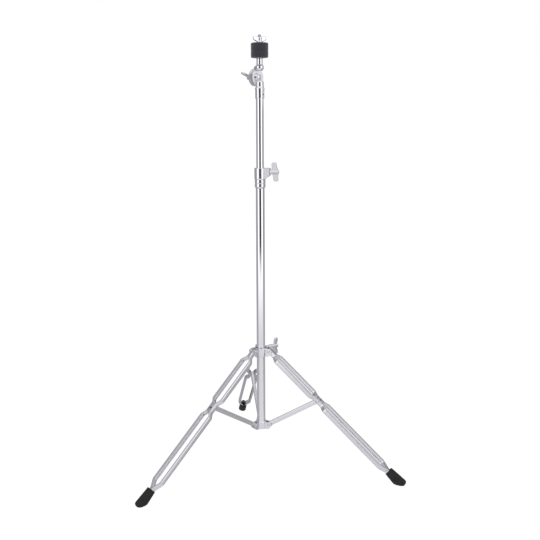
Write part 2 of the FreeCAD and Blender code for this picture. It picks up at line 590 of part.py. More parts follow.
def save_tilter():
    pivot = V(0, 0, TILT_UP)
    front_face = -DISC_OFFSET
    rear_face = front_face - FREE
    rear_back = rear_face - REAR_DISC_THICK
    boss_front = front_face + DISC_THICK + BOSS_RISE
    bolt_hole = bar(BOLT_R + RUN, pivot + AXIS_X * (rear_back - 1), pivot + AXIS_X * (boss_front + 1))

    post_top = TILT_UP - POST_BELOW
    ring_r = SOCKET_R + SOCKET_RING
    ring_low = MAST_TOP - SOCKET_RING_HEIGHT
    lower = turned([(0, SOCKET_BOTTOM), (SOCKET_R, SOCKET_BOTTOM, 1), (SOCKET_R, ring_low),
                    (ring_r, ring_low, SOCKET_RING / 2), (ring_r, MAST_TOP, 1),
                    (POST_R, MAST_TOP + POST_SHOULDER, 3), (POST_R, post_top, 4), (0, post_top)])
    relief = Part.makeBox(ring_r, 2 * ring_r, DISC_R + PAST,
                          V(front_face - ring_r, -ring_r, TILT_UP - DISC_R - FREE))
    lower = lower.cut(relief)
    lower = lower.fuse(bar(BOSS_R, pivot + AXIS_X * front_face, pivot + AXIS_X * boss_front))
    disc = bar(DISC_R, pivot + AXIS_X * front_face, pivot + AXIS_X * (front_face + DISC_THICK))
    lower = lower.fuse(disc.cut(teeth(front_face)))
    socket = Part.makeCylinder(MAST_R, SOCKET_DEPTH, V(0, 0, SOCKET_BOTTOM))
    lower = lower.cut(socket).cut(roll_pin()).cut(bolt_hole).removeSplitter()
    save("tilter_lower_arm", on_tilter(lower))
    save("tilter_roll_pin", on_tilter(roll_pin()))

    neck_low = TILT_UP + DISC_R + FREE
    neck_high = neck_low + NECK_HEIGHT
    upper = bar(DISC_R, pivot + AXIS_X * rear_back, pivot + AXIS_X * rear_face)
    upper = upper.cut(teeth(rear_face))
    web_back = rear_face - ARM_THICK
    arm = slab([(web_back, TILT_UP), (web_back, neck_high, ARM_ROUND), (0, neck_high), (0, neck_low),
                (rear_face, neck_low), (rear_face, TILT_UP)], -ARM_HALF, ARM_HALF)
    keep_clear = bar(DISC_R - TOOTH_DEPTH, pivot + AXIS_X * rear_face, pivot + AXIS_X * (rear_face - 1))
    neck = turned([(0, neck_low - CHIN_DROP), (CHIN_R, neck_low - CHIN_DROP, 2), (NECK_R, neck_low, 1.5),
                   (NECK_R, neck_high, 1.5), (STEM_R, neck_high + NECK_TAPER, 1),
                   (STEM_R, STEM_TOP_UP, 0.8), (0, STEM_TOP_UP)])
    disc_room = Part.makeBox(2 * NECK_R, 2 * NECK_R, DISC_R, V(front_face + DISC_THICK + FREE - 2 * NECK_R,
                                                              -NECK_R, neck_low - DISC_R))
    upper = upper.fuse(arm.cut(keep_clear)).fuse(neck.cut(disc_room))
    rod_hole = Part.makeCylinder(ROD_R, ROD_SEAT, V(0, 0, STEM_TOP_UP - ROD_SEAT))
    upper = upper.cut(bolt_hole).cut(rod_hole).removeSplitter()
    save("tilter_upper_arm", on_tilter(upper))

    wing_seat = rear_back - FREE - WASHER_THICK - FREE
    bolt = turned([(0, wing_seat - TILTER_WING["hub"] - 1), (BOLT_R, wing_seat - TILTER_WING["hub"] - 1, 1),
                   (BOLT_R, boss_front), (HEAD_R, boss_front), (HEAD_R, boss_front + 1, 0.5),
                   (HEAD_R / 2, boss_front + HEAD_THICK, 2), (0, boss_front + HEAD_THICK)])
    save("tilter_bolt", on_tilter(shifted(lying(bolt), pivot)))
    washer = pipe(WASHER_R, BOLT_R + RUN, rear_back - FREE - WASHER_THICK, rear_back - FREE)
    save("tilter_washer", on_tilter(shifted(lying(washer), pivot)))
    nut = spun(winged(TILTER_WING, bore=BOLT_R + RUN), AXIS_Z, TILT_WING_TURN)
    nut = spun(nut, AXIS_Y, -90)
    save("tilter_wing_nut", on_tilter(shifted(nut, pivot + AXIS_X * wing_seat)))


# ---------------------------------------------------------------- cymbal seat
def felt(low, low_round, high_round):
    bore = SLEEVE_R + SOFT_GAP
    high = low + FELT_THICK
    return turned([(bore, low), (FELT_R, low, low_round), (FELT_R, high, high_round), (bore, high)])


def save_cymbal_seat():
    rod_low = STEM_TOP_UP - ROD_SEAT
    rod_high = STEM_TOP_UP + ROD_ABOVE_STEM
    save("cymbal_rod", turned([(0, rod_low), (ROD_R, rod_low), (ROD_R, rod_high, 1.2), (0, rod_high)]))
    save("seat_washer", pipe(STEM_R, ROD_R, STEM_TOP_UP, SEAT_UP))
    sleeve_high = UPPER_FELT_UP + FELT_THICK - SLEEVE_SHORT
    save("cymbal_sleeve", pipe(SLEEVE_R, ROD_R, SEAT_UP, sleeve_high))
    save("lower_felt", felt(LOWER_FELT_UP, FELT_ROUND, FELT_MEETING_ROUND))
    save("upper_felt", felt(UPPER_FELT_UP, FELT_MEETING_ROUND, FELT_ROUND))
    nut = around(winged(CYMBAL_WING, bore=ROD_R + RUN), CYMBAL_WING_TURN)
    save("cymbal_wing_nut", shifted(nut, V(0, 0, CYMBAL_NUT_UP)))


os.makedirs("parts", exist_ok=True)
save_column()
save_lower_collar()
save_leg_collar()
save_legs()
save_clamp()
save_tilter()
save_cymbal_seat()
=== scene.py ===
"""A straight double-braced cymbal stand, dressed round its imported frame.

Metres, +Z up, the origin on the floor under the column. Each leg's pieces are made once in
the leg's own frame, +X from its pivot to its foot and +Y across it, and copied three times.
"""
import json
import math

import bpy
from mathutils import Matrix, Vector


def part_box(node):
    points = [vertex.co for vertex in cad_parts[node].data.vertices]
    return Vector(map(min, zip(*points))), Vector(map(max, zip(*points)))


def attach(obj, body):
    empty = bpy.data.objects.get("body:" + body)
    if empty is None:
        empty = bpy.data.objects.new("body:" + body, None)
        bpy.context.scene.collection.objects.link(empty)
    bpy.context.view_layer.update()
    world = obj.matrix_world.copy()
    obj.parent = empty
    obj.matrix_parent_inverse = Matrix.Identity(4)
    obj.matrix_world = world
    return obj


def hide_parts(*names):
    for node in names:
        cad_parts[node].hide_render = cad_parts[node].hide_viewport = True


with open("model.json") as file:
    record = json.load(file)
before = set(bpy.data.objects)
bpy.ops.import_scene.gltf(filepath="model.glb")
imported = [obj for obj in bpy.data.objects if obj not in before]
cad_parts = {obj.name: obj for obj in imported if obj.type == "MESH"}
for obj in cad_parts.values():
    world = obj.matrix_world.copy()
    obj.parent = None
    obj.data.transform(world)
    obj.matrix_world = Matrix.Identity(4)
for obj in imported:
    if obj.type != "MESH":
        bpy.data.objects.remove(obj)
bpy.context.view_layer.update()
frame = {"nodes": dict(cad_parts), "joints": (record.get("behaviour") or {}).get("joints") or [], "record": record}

MM = 0.001
LEGS = ("back", "left", "right")

# ------------------------------------------------------------------ places from the frame
JOINTS = {joint["name"]: joint for joint in frame["joints"]}
MOUNTS = {mount["name"]: mount for mount in frame["record"]["mounts"]}


def joint_place(name):
    return Vector(JOINTS[name]["pos_m"])


def joint_axis(name):
    return Vector(JOINTS[name]["axis"]).normalized()


def middle(node):
    low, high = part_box(node)
    return (low + high) / 2


def size(node):
    low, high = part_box(node)
    return high - low


def axes_frame(origin, along, across):
    """Matrix whose X runs along one direction and whose Y runs across it."""
    x_axis = along.normalized()
    z_axis = x_axis.cross(across).normalized()
    y_axis = z_axis.cross(x_axis)
    turn = Matrix((x_axis, y_axis, z_axis)).transposed().to_4x4()
    return Matrix.Translation(origin) @ turn


def leg_frame(leg):
    pivot = joint_place(leg + "_leg_swing")
    sole = Vector(MOUNTS[leg + "_foot_sole"]["pos_m"])
    return axes_frame(pivot, sole - pivot, joint_axis(leg + "_leg_swing"))


def strut_frame(leg):
    pivot = joint_place(leg + "_strut_swing")
    return axes_frame(pivot, middle(leg + "_brace_rivet") - pivot, joint_axis(leg + "_strut_swing"))


LEG_LENGTH = (Vector(MOUNTS["back_foot_sole"]["pos_m"]) - joint_place("back_leg_swing")).length
BRACE_AT = (middle("back_brace_rivet") - joint_place("back_leg_swing")).length
STRUT_LENGTH = (middle("back_brace_rivet") - joint_place("back_strut_swing")).length


# ------------------------------------------------------------------ modelling helpers
def clear_selection():
    if bpy.context.object and bpy.context.object.mode != "OBJECT":
        bpy.ops.object.mode_set(mode="OBJECT")
    bpy.ops.object.select_all(action="DESELECT")


def pick(piece):
    clear_selection()
    piece.select_set(True)
    bpy.context.view_layer.objects.active = piece


def edit(piece):
    pick(piece)
    bpy.ops.object.mode_set(mode="EDIT")
    bpy.ops.mesh.select_mode(type="VERT")


def leave_edit():
    bpy.ops.object.mode_set(mode="OBJECT")


def take_edges(piece, wanted):
    """Select the edges that the test picks, and nothing else, from object mode."""
    pick(piece)
    for group in (piece.data.vertices, piece.data.edges, piece.data.polygons):
        for element in group:
            element.select = False
    for edge in piece.data.edges:
        edge.select = wanted(edge)


def new_piece(name):
    piece = bpy.context.object
    piece.name = name
    piece.data.name = name
    return piece


def settle(piece, matrix=None):
    """Bake the place into the mesh, so that the object sits at the origin."""
    place = matrix if matrix is not None else Matrix.Identity(4)
    piece.data.transform(place @ piece.matrix_world)
    piece.matrix_world = Matrix.Identity(4)
    return piece


def copy_of(piece, name, matrix):
    twin = piece.copy()
    twin.data = piece.data.copy()
    twin.name = name
    twin.data.name = name
    bpy.context.scene.collection.objects.link(twin)
    return settle(twin, matrix)


def apply_all(piece):
    pick(piece)
    for modifier in list(piece.modifiers):
        bpy.ops.object.modifier_apply(modifier=modifier.name)


def with_modifier(piece, kind, **settings):
    modifier = piece.modifiers.new(kind.title(), kind)
    for key, value in settings.items():
        setattr(modifier, key, value)
    return modifier


def smooth(piece, degrees=32.0):
    pick(piece)
    bpy.ops.object.shade_smooth_by_angle(angle=math.radians(degrees))


def outward(piece):
    edit(piece)
    bpy.ops.mesh.select_all(action="SELECT")
    bpy.ops.mesh.remove_doubles(threshold=1e-6)
    bpy.ops.mesh.normals_make_consistent(inside=False)
    leave_edit()


def lathe(name, profile, segments=96):
    """A turned piece about Z. Its profile lists (radius, height); it closes on itself
    where the last point is the first one, and otherwise its ends are filled."""
    radius, height = profile[0]
    bpy.ops.mesh.primitive_circle_add(vertices=segments, radius=radius, location=(0, 0, height))
    piece = new_piece(name)
    settle(piece)
    edit(piece)
    bpy.ops.mesh.select_all(action="SELECT")
    closed = profile[0] == profile[-1]
    if not closed:
        bpy.ops.mesh.edge_face_add()
    for (r_from, z_from), (r_to, z_to) in zip(profile, profile[1:]):
        bpy.ops.mesh.extrude_region_move(TRANSFORM_OT_translate={"value": (0, 0, z_to - z_from)})
        scale = r_to / r_from
        bpy.ops.transform.resize(value=(scale, scale, 1), center_override=(0, 0, z_to))
    leave_edit()
    outward(piece)
    return piece


def loft(name, outline, stations):
    """A bar of one cross-section, drawn in Y and Z, carried along X through the stations,
    each (x, y shift); its two ends are closed."""
    bpy.ops.mesh.primitive_circle_add(vertices=len(outline), radius=1.0, fill_type="NGON")
    piece = new_piece(name)
    first_x, first_y = stations[0]
    for vertex, (y, z) in zip(piece.data.vertices, outline):
        vertex.co = (first_x, y + first_y, z)
    edit(piece)
    bpy.ops.mesh.select_all(action="SELECT")
    for (x0, y0), (x1, y1) in zip(stations, stations[1:]):
        bpy.ops.mesh.extrude_region_move(TRANSFORM_OT_translate={"value": (x1 - x0, y1 - y0, 0)})
    leave_edit()
    outward(piece)
    return piece


def rounded(points, count=5):
    """The open or closed line through (a, b, corner radius) points with round corners."""
    line = []
    for index, (a, b, radius) in enumerate(points):
        corner = Vector((a, b))
        if radius <= 0 or index in (0, len(points) - 1):
            line.append((a, b))
            continue
        back = (Vector(points[index - 1][:2]) - corner).normalized()
        ahead = (Vector(points[index + 1][:2]) - corner).normalized()
        half = back.angle(ahead) / 2
        reach = radius / math.tan(half)
        for step in range(count + 1):
            share = step / count
            start, end = corner + back * reach, corner + ahead * reach
            bend = (1 - share) ** 2 * start + 2 * share * (1 - share) * corner + share ** 2 * end
            line.append((bend.x, bend.y))
    return line


def give_material(piece, material):
    piece.data.materials.clear()
    piece.data.materials.append(material)


def finish_piece(piece, node, body, material):
    """Give a new piece its look and its body, in the place of one CAD node."""
    give_material(piece, material)
    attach(piece, body)
    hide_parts(node)


# ------------------------------------------------------------------ shader helpers
class Knob:
    """A shader value: arithmetic on it adds Math nodes."""

    def __init__(self, tree, socket):
        self.tree = tree
        self.socket = socket

    def maths(self, operation, left, right):
        node = self.tree.nodes.new("ShaderNodeMath")
        node.operation = operation
        for port, value in zip(node.inputs, (left, right)):
            if isinstance(value, Knob):
                self.tree.links.new(value.socket, port)
            else:
                port.default_value = value
        return Knob(self.tree, node.outputs[0])

    def __add__(self, other):
        return self.maths("ADD", self, other)

    def __sub__(self, other):
        return self.maths("SUBTRACT", self, other)

    def __mul__(self, other):
        return self.maths("MULTIPLY", self, other)

    def __rsub__(self, other):
        return self.maths("SUBTRACT", other, self)

    def __truediv__(self, other):
        return self.maths("DIVIDE", self, other)

    def __pow__(self, other):
        return self.maths("POWER", self, other)

    def least(self, other):
        return self.maths("MINIMUM", self, other)

    def most(self, other):
        return self.maths("MAXIMUM", self, other)

    __radd__ = __add__
    __rmul__ = __mul__


class Finish:
    """A material under construction with its Principled shader, or a world with its backdrop."""

    def __init__(self, name, world=None):
        if world is None:
            self.material = bpy.data.materials.new(name)
            self.material.use_nodes = True
            self.tree = self.material.node_tree
            self.shader = self.tree.nodes["Principled BSDF"]
        else:
            world.use_nodes = True
            self.tree = world.node_tree
            self.shader = self.tree.nodes["Background"]

    def node(self, kind, settings=None, out=0, **sockets):
        made = self.tree.nodes.new(kind)
        for key, value in (settings or {}).items():
            setattr(made, key, value)
        self.feed(made, sockets)
        return Knob(self.tree, made.outputs[out])

    def feed(self, node, sockets):
        """Set or link sockets. A key is a socket's name, or "in" and its number."""
        for key, value in sockets.items():
            port = node.inputs[int(key[2:]) if key.startswith("in") else key.replace("_", " ")]
            if isinstance(value, Knob):
                self.tree.links.new(value.socket, port)
            else:
                port.default_value = value

    def noise(self, scale, detail=3.0, stretch=(1, 1, 1), roughness=0.5):
        place = self.node("ShaderNodeTexCoord", out="Object")
        mapped = self.node("ShaderNodeMapping", Vector=place, Scale=stretch)
        return self.node("ShaderNodeTexNoise", out="Fac", Vector=mapped, Scale=scale, Detail=detail,
                         Roughness=roughness)

    def blend(self, amount, first, second):
        return self.node("ShaderNodeMix", {"data_type": "RGBA"}, out=2, in0=amount, in6=first, in7=second)

    def bump(self, height, strength, distance):
        return self.node("ShaderNodeBump", Height=height, Strength=strength, Distance=distance)

    def set(self, **sockets):
        self.feed(self.shader, sockets)


def grey(value, tint=0.0):
    """A neutral colour, a little cool where the tint is above zero."""
    return (value * (1 - tint), value * (1 - tint), value, 1.0)


# ------------------------------------------------------------------ finishes
CHROME_TINT = 0.03


def chrome(name, tone, shine, haze, grain, stretch=(1, 1, 1), dent=0.0):
    """Chrome plate: a mirror with faint clouding, and a little waviness where it is cast."""
    finish = Finish(name)
    cloud = finish.noise(18.0, 4.0, stretch)
    fine = finish.noise(grain, 5.0, stretch, 0.6)
    colour = finish.blend(cloud, grey(tone * 0.93, CHROME_TINT), grey(tone, CHROME_TINT))
    finish.set(Base_Color=colour, Metallic=1.0, Roughness=shine + cloud * haze + fine * (haze * 0.6))
    finish.set(Normal=finish.bump(fine, 0.05 + dent, 0.0001))
    return finish.material


def rubber_finish():
    finish = Finish("moulded_rubber")
    grain = finish.noise(2600.0, 3.0)
    dust = finish.noise(60.0, 5.0, (1, 1, 1), 0.65)
    scuff = (dust - 0.5).most(0.0) * 1.2
    finish.set(Base_Color=finish.blend(scuff, grey(0.010), grey(0.045)), Roughness=0.45 + dust * 0.3)
    finish.set(Normal=finish.bump(grain + dust * 0.4, 0.2, 0.0002), Specular_IOR_Level=0.3)
    return finish.material


def nylon_finish():
    finish = Finish("moulded_nylon")
    cloud = finish.noise(240.0, 4.0)
    finish.set(Base_Color=finish.blend(cloud, grey(0.05), grey(0.08)), Roughness=0.42 + cloud * 0.16)
    finish.set(Normal=finish.bump(cloud, 0.15, 0.0001))
    return finish.material


def felt_finish():
    """Pressed wool: tangled fibres at two scales, a mottled charcoal and a soft sheen."""
    finish = Finish("pressed_wool_felt")
    fibre = finish.noise(900.0, 6.0, (1, 1, 0.35), 0.7)
    cross = finish.noise(1300.0, 5.0, (0.3, 1, 1), 0.7)
    mottle = finish.noise(120.0, 4.0)
    tangle = fibre * 0.5 + cross * 0.5
    shade = (tangle * 0.75 + mottle * 0.35 - 0.1).most(0.0).least(1.0)
    finish.set(Base_Color=finish.blend(shade, (0.018, 0.0165, 0.022, 1), (0.062, 0.058, 0.072, 1)))
    finish.set(Roughness=0.86 + tangle * 0.12, Sheen_Weight=0.35, Sheen_Roughness=0.5,
               Specular_IOR_Level=0.2, Normal=finish.bump(tangle, 1.0, 0.0009))
    return finish.material


FINISHES = {
    "tube_chrome": chrome("tube_chrome_plate", 0.86, 0.03, 0.04, 500.0, (1, 1, 0.06)),
    "pressed_steel": chrome("pressed_steel_chrome", 0.76, 0.18, 0.10, 900.0, dent=0.03),
    "cast_chrome": chrome("cast_zinc_chrome", 0.82, 0.10, 0.08, 420.0, dent=0.06),
    "hardware": chrome("plated_hardware", 0.72, 0.14, 0.10, 700.0, dent=0.05),
    "rubber": rubber_finish(),
    "nylon": nylon_finish(),
    "felt": felt_finish(),
}
# Painted shade: the spring pin's steel is coloured near black so that its hollow reads dark, as shade inside it
# would make it.
PIN_HOLLOW_PAINTED_SHADE = chrome("pin_steel_painted_hollow_shade", 0.07, 0.35, 0.10, 900.0)


SLOTS = {part["node"]: part["material_slot"] for part in frame["record"]["subparts"]}
BODIES = {node: body for body, nodes in frame["record"]["behaviour"]["bodies"].items() for node in nodes}


def dress_frame():
    """Give every carried-over solid the finish of its slot."""
    for node, slot in SLOTS.items():
        give_material(frame["nodes"][node], FINISHES[slot])


def stand_for(piece, node):
    """Put a new piece in the place of one CAD node, with that node's body and finish."""
    finish_piece(piece, node, BODIES[node], FINISHES[SLOTS[node]])


# ------------------------------------------------------------------ tubes
TUBE_WALL = 1.2 * MM
LIP = 0.4 * MM


def make_tube(node):
    low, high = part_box(node)
    outer = size(node).x / 2
    inner = outer - TUBE_WALL
    profile = [(outer, low.z + LIP), (outer, high.z - LIP), (outer - LIP, high.z), (inner + LIP, high.z),
               (inner, high.z - LIP), (inner, low.z + LIP), (inner + LIP, low.z), (outer - LIP, low.z),
               (outer, low.z + LIP)]
    piece = lathe(node + "_drawn", profile, 128)
    smooth(piece, 30)
    stand_for(piece, node)


# ------------------------------------------------------------------ cast pieces
CAST_EDGES = {"height_clamp": 0.7, "leg_collar": 0.6, "lower_collar": 0.5, "tilter_lower_arm": 0.6,
              "tilter_upper_arm": 0.6}


def soften(node, width):
    """A merged copy of a cast solid with its sharp edges rounded off as a casting has them."""
    source = frame["nodes"][node]
    piece = source.copy()
    piece.data = source.data.copy()
    piece.parent = None
    piece.name = node + "_cast"
    for key in list(piece.keys()):
        del piece[key]
    bpy.context.scene.collection.objects.link(piece)
    edit(piece)
    bpy.ops.mesh.select_all(action="SELECT")
    bpy.ops.mesh.customdata_custom_splitnormals_clear()
    bpy.ops.mesh.remove_doubles(threshold=2e-6)
    bpy.ops.mesh.dissolve_limited(angle_limit=math.radians(0.6))
    leave_edit()
    with_modifier(piece, "BEVEL", width=width, segments=2, limit_method="ANGLE",
                  angle_limit=math.radians(38), miter_outer="MITER_ARC")
    apply_all(piece)
    smooth(piece, 34)
    with_modifier(piece, "WEIGHTED_NORMAL", keep_sharp=True, weight=100)
    apply_all(piece)
    stand_for(piece, node)


# ------------------------------------------------------------------ spring pin
PIN_WALL = 0.6 * MM
PIN_SLOT_DEGREES = 35.0


def make_spring_pin():
    """Slotted spring pin across the tilter's socket: a rolled strip whose whole colour is darkened as painted
    shade for its hollow.
    """
    node = "tilter_roll_pin"
    axis = joint_axis("cymbal_tilt")
    outer = size(node).z / 2
    half_length = (size(node).x - 2 * outer * abs(axis.y)) / abs(axis.x) / 2
    bpy.ops.mesh.primitive_circle_add(vertices=4, radius=1.0, fill_type="NGON")
    pin = new_piece("spring_pin")
    corners = ((outer - PIN_WALL, -half_length), (outer, -half_length), (outer, half_length),
               (outer - PIN_WALL, half_length))
    for vertex, (reach, height) in zip(pin.data.vertices, corners):
        vertex.co = (reach, 0, height)
    edit(pin)
    bpy.ops.mesh.select_all(action="SELECT")
    bpy.ops.mesh.spin(steps=26, angle=math.radians(360 - PIN_SLOT_DEGREES), center=(0, 0, 0), axis=(0, 0, 1))
    leave_edit()
    outward(pin)
    settle(pin, Matrix.Translation(middle(node)) @ axis.to_track_quat("Z", "Y").to_matrix().to_4x4())
    smooth(pin, 30)
    finish_piece(pin, node, "mast", PIN_HOLLOW_PAINTED_SHADE)


# ------------------------------------------------------------------ legs
STRIP_DEPTH = 5.5 * MM
STRIP_HALF = 6.0 * MM
STRIP_GAUGE = 1.5 * MM
STRIP_CORNER = 2.0 * MM
STRUT_SIDE = 4.0 * MM
STRUT_HALF = 6.0 * MM
STRUT_CORNER = 1.6 * MM
SPREAD = 13.45 * MM
TOP_PINCH = 1.0 * MM
JOINT_PINCH = 4.3 * MM
FOOT_PINCH = 0.5 * MM
BEND = 9.0 * MM
FOOT_HEIGHT = 43.0 * MM
FOOT_SOCKET = 28.0 * MM
# Where a half-round end is cut, in degrees round it from its root; the tip is at 90.
END_CUTS = (87, 80, 70, 58, 45, 30, 15)


def channel_outline(depth, half, gauge, corner):
    """A channel in (y, z), open towards -Y, its outer corners pressed round."""
    outer = rounded([(0, -half, 0), (depth, -half, corner), (depth, half, corner), (0, half, 0)], 5)
    inside, flange = depth - gauge, half - gauge
    inner = rounded([(0, flange, 0), (inside, flange, corner * 0.4), (inside, -flange, corner * 0.4),
                     (0, -flange, 0)], 3)
    return outer + inner


def strip_stations():
    """(along the leg, inner face to the middle plane) with the bends pressed round."""
    foot_top = LEG_LENGTH - FOOT_HEIGHT
    above, below, flare = BRACE_AT - 11 * MM, BRACE_AT + 17 * MM, 11 * MM
    line = [(0, TOP_PINCH, 0), (20 * MM, TOP_PINCH, BEND), (33 * MM, SPREAD, BEND),
            (above - flare, SPREAD, BEND), (above, JOINT_PINCH, BEND), (below, JOINT_PINCH, BEND),
            (below + flare, SPREAD, BEND), (foot_top - 24 * MM, SPREAD, BEND),
            (foot_top - 4 * MM, FOOT_PINCH, BEND), (foot_top + FOOT_SOCKET, FOOT_PINCH, 0)]
    return rounded(line, 6)


def squeeze_ends(piece, ends, half):
    """Draw a bar's height in towards its middle line, so that its ends are half round."""
    for vertex in piece.data.vertices:
        for centre_x, ahead in ends:
            beyond = vertex.co.x - centre_x if ahead else centre_x - vertex.co.x
            if beyond > 0:
                vertex.co.z *= math.sqrt(max(1 - (min(beyond, half * 0.999) / half) ** 2, 0.002))


def make_strip():
    """The channel on the +Y side of a leg, in the leg's own frame."""
    end = [(-STRIP_HALF * math.sin(math.radians(cut)), TOP_PINCH) for cut in END_CUTS]
    outline = channel_outline(STRIP_DEPTH, STRIP_HALF, STRIP_GAUGE, STRIP_CORNER)
    piece = loft("leg_strip", outline, end + strip_stations())
    squeeze_ends(piece, [(0.0, False)], STRIP_HALF)
    outward(piece)
    smooth(piece, 40)
    return piece


def make_strut():
    """The pressed channel between the fixed collar and a leg, open underneath."""
    half = STRUT_HALF
    outline = channel_outline(2 * half, STRUT_SIDE, STRIP_GAUGE, STRUT_CORNER)
    outline = [(z, y - half) for y, z in outline]
    reaches = [half * math.sin(math.radians(cut)) for cut in END_CUTS + (0,)]
    stations = [(-reach, 0) for reach in reaches] + [(STRUT_LENGTH + reach, 0) for reach in reaches[::-1]]
    piece = loft("strut", outline, stations)
    squeeze_ends(piece, [(0.0, False), (STRUT_LENGTH, True)], half)
    outward(piece)
    smooth(piece, 40)
    return piece


# The boot's oval sections: (distance below its top, half width, outer reach, inner reach).
BOOT_OVALS = ((0.0, 10.3, 14.0, 9.5), (46.0, 11.0, 17.5, 14.0), (50.0, 9.5, 15.5, 12.5),
              (53.0, 5.0, 8.0, 5.0))
# Its side: (share of the whole oval, distance below the top), a rolled rim and two shallow grooves.
BOOT_SIDE = ((0.70, 1.2), (0.74, 0.3), (0.82, 0.0), (0.93, 0.1), (0.985, 0.9), (1.0, 2.4), (0.99, 3.9),
             (0.955, 4.4), (0.955, 5.0), (0.985, 5.5), (0.99, 14.0), (0.995, 24.0), (1.0, 31.6),
             (0.975, 32.0), (0.975, 32.7), (1.0, 33.1), (1.0, 35.4), (0.975, 35.8), (0.975, 36.5),
             (1.0, 36.9), (1.0, 44.0), (0.995, 45.4), (0.985, 46.4), (0.99, 47.6), (1.0, 48.8),
             (0.985, 49.8), (0.97, 50.6), (0.95, 51.4), (0.80, 52.2), (0.40, 52.4))


def boot_oval(distance):
    """Half width, outer reach and inner reach of the boot at a distance below its top."""
    for (start, *first), (end, *second) in zip(BOOT_OVALS, BOOT_OVALS[1:]):
        if distance <= end * MM:
            share = (distance / MM - start) / (end - start)
            return [(a + (b - a) * share) * MM for a, b in zip(first, second)]
    return [reach * MM for reach in BOOT_OVALS[-1][1:]]


def make_foot(leg):
    """Rubber boot: an oval cone along the leg, fuller on its outer side and flat on the floor."""
    top = LEG_LENGTH - FOOT_HEIGHT
    boot = lathe(leg + "_boot", [(share, top + distance * MM) for share, distance in BOOT_SIDE], 72)
    settle(boot, Matrix.Rotation(math.radians(90), 4, "Y"))
    for vertex in boot.data.vertices:
        across, outer, inner = boot_oval(vertex.co.x - top)
        vertex.co.y *= across
        vertex.co.z = (outer - inner) / 2 + vertex.co.z * (outer + inner) / 2
    settle(boot, leg_frame(leg))
    edit(boot)
    bpy.ops.mesh.select_all(action="SELECT")
    bpy.ops.mesh.bisect(plane_co=(0, 0, 0), plane_no=(0, 0, 1), use_fill=True, clear_inner=True)
    leave_edit()
    outward(boot)
    smooth(boot, 38)
    stand_for(boot, leg + "_rubber_foot")


def make_legs():
    strip, strut_blank = make_strip(), make_strut()
    flip = Matrix.Scale(-1, 4, (0, 1, 0))
    for leg in LEGS:
        place = leg_frame(leg)
        stand_for(copy_of(strip, leg + "_channel_a", place), leg + "_leg_strip_a")
        other = copy_of(strip, leg + "_channel_b", place @ flip)
        outward(other)
        stand_for(other, leg + "_leg_strip_b")
        stand_for(copy_of(strut_blank, leg + "_strut_channel", strut_frame(leg)), leg + "_strut")
        make_foot(leg)
    for blank in (strip, strut_blank):
        bpy.data.objects.remove(blank)


# ------------------------------------------------------------------ wing nuts and bolts
HUB_R = 5.6
WING_THICK = 4.2
WING_BEVEL = 1.5
WING_VOXEL = 0.42
NUT_BORE = 3.9
SHANK_R = 4.0 * MM
SHANK_IN_HUB = 2 * MM
CLAMP_WING = {"hub": 22.0, "span": 55.0, "root": 5.0, "low": 7.0, "high": 18.5, "saddle": 20.5}
COLLAR_WING = {"hub": 18.0, "span": 45.0, "root": 5.0, "low": 7.5, "high": 18.5, "saddle": 15.5}
TILTER_WING = {"hub": 18.0, "span": 58.0, "root": 4.0, "low": 10.0, "high": 19.0, "saddle": 15.0}
TOP_WING = {"hub": 13.5, "span": 37.0, "root": 1.0, "low": 6.0, "high": 15.0, "saddle": 12.8}
CLAMP_WING_TURN = 28.0
TILT_WING_TURN = -66.0
TOP_WING_TURN = 22.0
CLAMP_SHANK = 14.4 * MM
COLLAR_SHANK = 27.9 * MM
SEAT_GAP = 0.3 * MM
WASHER_HALF = 0.9 * MM
PITCH = 1.25 * MM
THREAD_DEPTH = 0.55 * MM
THREAD_CHAMFER = 0.8 * MM
THREAD_INSET = 0.6 * MM


def plate(name, outline, thickness, bevel):
    """A flat piece in X and Z of an outline, centred on Y, with rounded edges."""
    bpy.ops.mesh.primitive_circle_add(vertices=len(outline), radius=1.0, fill_type="NGON")
    piece = new_piece(name)
    for vertex, (x, z) in zip(piece.data.vertices, outline):
        vertex.co = (x, -thickness / 2, z)
    edit(piece)
    bpy.ops.mesh.select_all(action="SELECT")
    bpy.ops.mesh.extrude_region_move(TRANSFORM_OT_translate={"value": (0, thickness, 0)})
    leave_edit()
    outward(piece)
    with_modifier(piece, "BEVEL", width=bevel, segments=3, limit_method="ANGLE",
                  angle_limit=math.radians(50))
    apply_all(piece)
    return piece


def joined(pieces, name):
    clear_selection()
    for piece in pieces:
        piece.select_set(True)
    bpy.context.view_layer.objects.active = pieces[0]
    bpy.ops.object.join()
    return new_piece(name)


def threaded(name, radius, low, high):
    """A threaded rod along Z with chamfered ends: a screwed skin round a core."""
    turns = int((high - low - 2 * THREAD_INSET) / PITCH)
    bpy.ops.mesh.primitive_circle_add(vertices=5, radius=1.0)
    skin = new_piece(name + "_skin")
    start = low + THREAD_INSET
    root = radius - THREAD_DEPTH
    shape = [(root, 0.0), (radius, 0.40), (radius, 0.55), (root, 0.95), (root, 1.0)]
    for vertex, (reach, share) in zip(skin.data.vertices, shape):
        vertex.co = (reach, 0, start + share * PITCH)
    take_edges(skin, lambda edge: set(edge.vertices) == {0, len(shape) - 1})
    bpy.ops.object.mode_set(mode="EDIT")
    bpy.ops.mesh.select_mode(type="EDGE")
    bpy.ops.mesh.delete(type="EDGE")
    leave_edit()
    with_modifier(skin, "SCREW", screw_offset=PITCH, iterations=turns, steps=32, render_steps=32,
                  use_merge_vertices=True, merge_threshold=1e-6)
    apply_all(skin)
    core, cut = radius - THREAD_DEPTH + 0.02 * MM, THREAD_CHAMFER
    profile = [(core - cut, low), (core, low + cut), (core, high - cut), (core - cut, high)]
    rod = lathe(name + "_core", profile, 32)
    piece = joined([rod, skin], name)
    smooth(piece, 40)
    return piece


